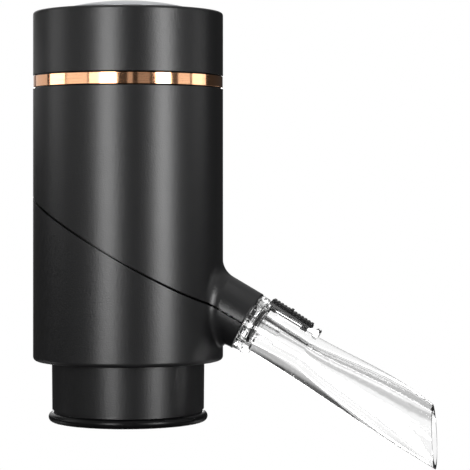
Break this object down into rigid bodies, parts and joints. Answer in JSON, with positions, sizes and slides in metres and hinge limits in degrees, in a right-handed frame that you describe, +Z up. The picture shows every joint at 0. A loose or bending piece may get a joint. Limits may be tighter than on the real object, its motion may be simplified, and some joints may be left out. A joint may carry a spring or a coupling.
{
  "type": "wine preservation dispenser",
  "caption": "Electric wine dispenser for a bottle's neck: press the top button and a pump pushes wine through the clear pull-off spout; a soft seal closes the bottle.",
  "frame": {"origin": "centre of the bottle socket at the underside of the base ring", "axes": "+Z up along the body, away from the bottle; +X towards the spout; +Y to the left of someone looking along +X"},
  "size_m": [0.1378, 0.065, 0.1576],
  "materials": {
    "soft_touch_black": "satin soft-touch paint on ABS",
    "rose_gold_band": "polished rose-gold plating",
    "button_aluminium": "satin anodised",
    "inner_plastic": "moulded",
    "pump_plastic": "moulded",
    "silicone": "matte silicone",
    "black_rubber": "smooth rubber",
    "clear_plastic": "clear moulded plastic",
    "slider_black": "moulded, ribbed",
    "screw_steel": "zinc plated",
    "motor_steel": "nickel plated",
    "magnet_ferrite": "sintered",
    "cell_sleeve": "shrink sleeve",
    "board_laminate": "solder mask"
  },
  "bodies": {
    "housing": {"upper_shell": "soft_touch_black", "lower_shell": "soft_touch_black", "crown_cap": "soft_touch_black", "base_collar": "soft_touch_black", "trim_band": "rose_gold_band", "button_guide": "inner_plastic", "button_return_dome": "silicone", "base_ring": "black_rubber", "neck_seal": "silicone", "bottle_hub": "inner_plastic", "air_duckbill": "black_rubber", "hub_screws": "screw_steel", "shell_screws": "screw_steel", "deck_screws": "screw_steel", "board_screws": "screw_steel", "pump_screws": "screw_steel", "motor_screws": "screw_steel", "lower_deck": "inner_plastic", "upper_deck": "inner_plastic", "deck_posts": "screw_steel", "lithium_cell": "cell_sleeve", "cell_pad": "black_rubber", "pump_cover": "pump_plastic", "valve_plate": "pump_plastic", "pump_diaphragm": "black_rubber", "pump_body": "pump_plastic", "motor_can": "motor_steel", "motor_end_cap": "pump_plastic", "motor_magnets": "magnet_ferrite", "wine_tube": "silicone", "air_hose": "silicone", "outlet_nozzle": "clear_plastic", "nozzle_o_ring": "black_rubber", "main_board": "board_laminate", "tact_switch": "inner_plastic", "charge_socket": "motor_steel"},
    "button": {"press_button": "button_aluminium"},
    "plunger": {"switch_plunger": "inner_plastic"},
    "spout": {"spout_tube": "clear_plastic", "spigot_seal": "silicone"},
    "slider": {"vent_slider": "slider_black"},
    "rotor": {"motor_shaft": "motor_steel", "motor_armature": "magnet_ferrite", "eccentric_wheel": "pump_plastic", "drive_pin": "motor_steel"},
    "swing": {"swing_plate": "pump_plastic"}
  },
  "joints": [
    {"name": "button_press", "type": "slide", "parent": "housing", "child": "button", "axis": [0, 0, -1], "range_m": [0, 0.0012], "stiffness_N_per_m": 600, "springref_m": -0.002, "deforming": ["button_return_dome"]},
    {"name": "switch_press", "type": "slide", "parent": "housing", "child": "plunger", "axis": [0, 0, -1], "range_m": [0, 0.0012]},
    {"name": "spout_pull", "type": "slide", "parent": "housing", "child": "spout", "axis": [0.866, 0, -0.5], "range_m": [0, 0.022]},
    {"name": "vent_slide", "type": "slide", "parent": "spout", "child": "slider", "axis": [0.866, 0, -0.5], "range_m": [0, 0.0015]},
    {"name": "pump_spin", "type": "hinge", "parent": "housing", "child": "rotor", "pos_m": [-0.0146, 0, 0.0746], "axis": [0, 0, 1], "continuous": true},
    {"name": "plate_wobble", "type": "hinge", "parent": "rotor", "child": "swing", "pos_m": [-0.0146, 0, 0.063], "axis": [0.0872, 0, 0.9962], "continuous": true}
  ],
  "couplings": [
    {"joint": "switch_press", "follows": "button_press", "ratio": 1},
    {"joint": "plate_wobble", "follows": "pump_spin", "ratio": -1}
  ]
}
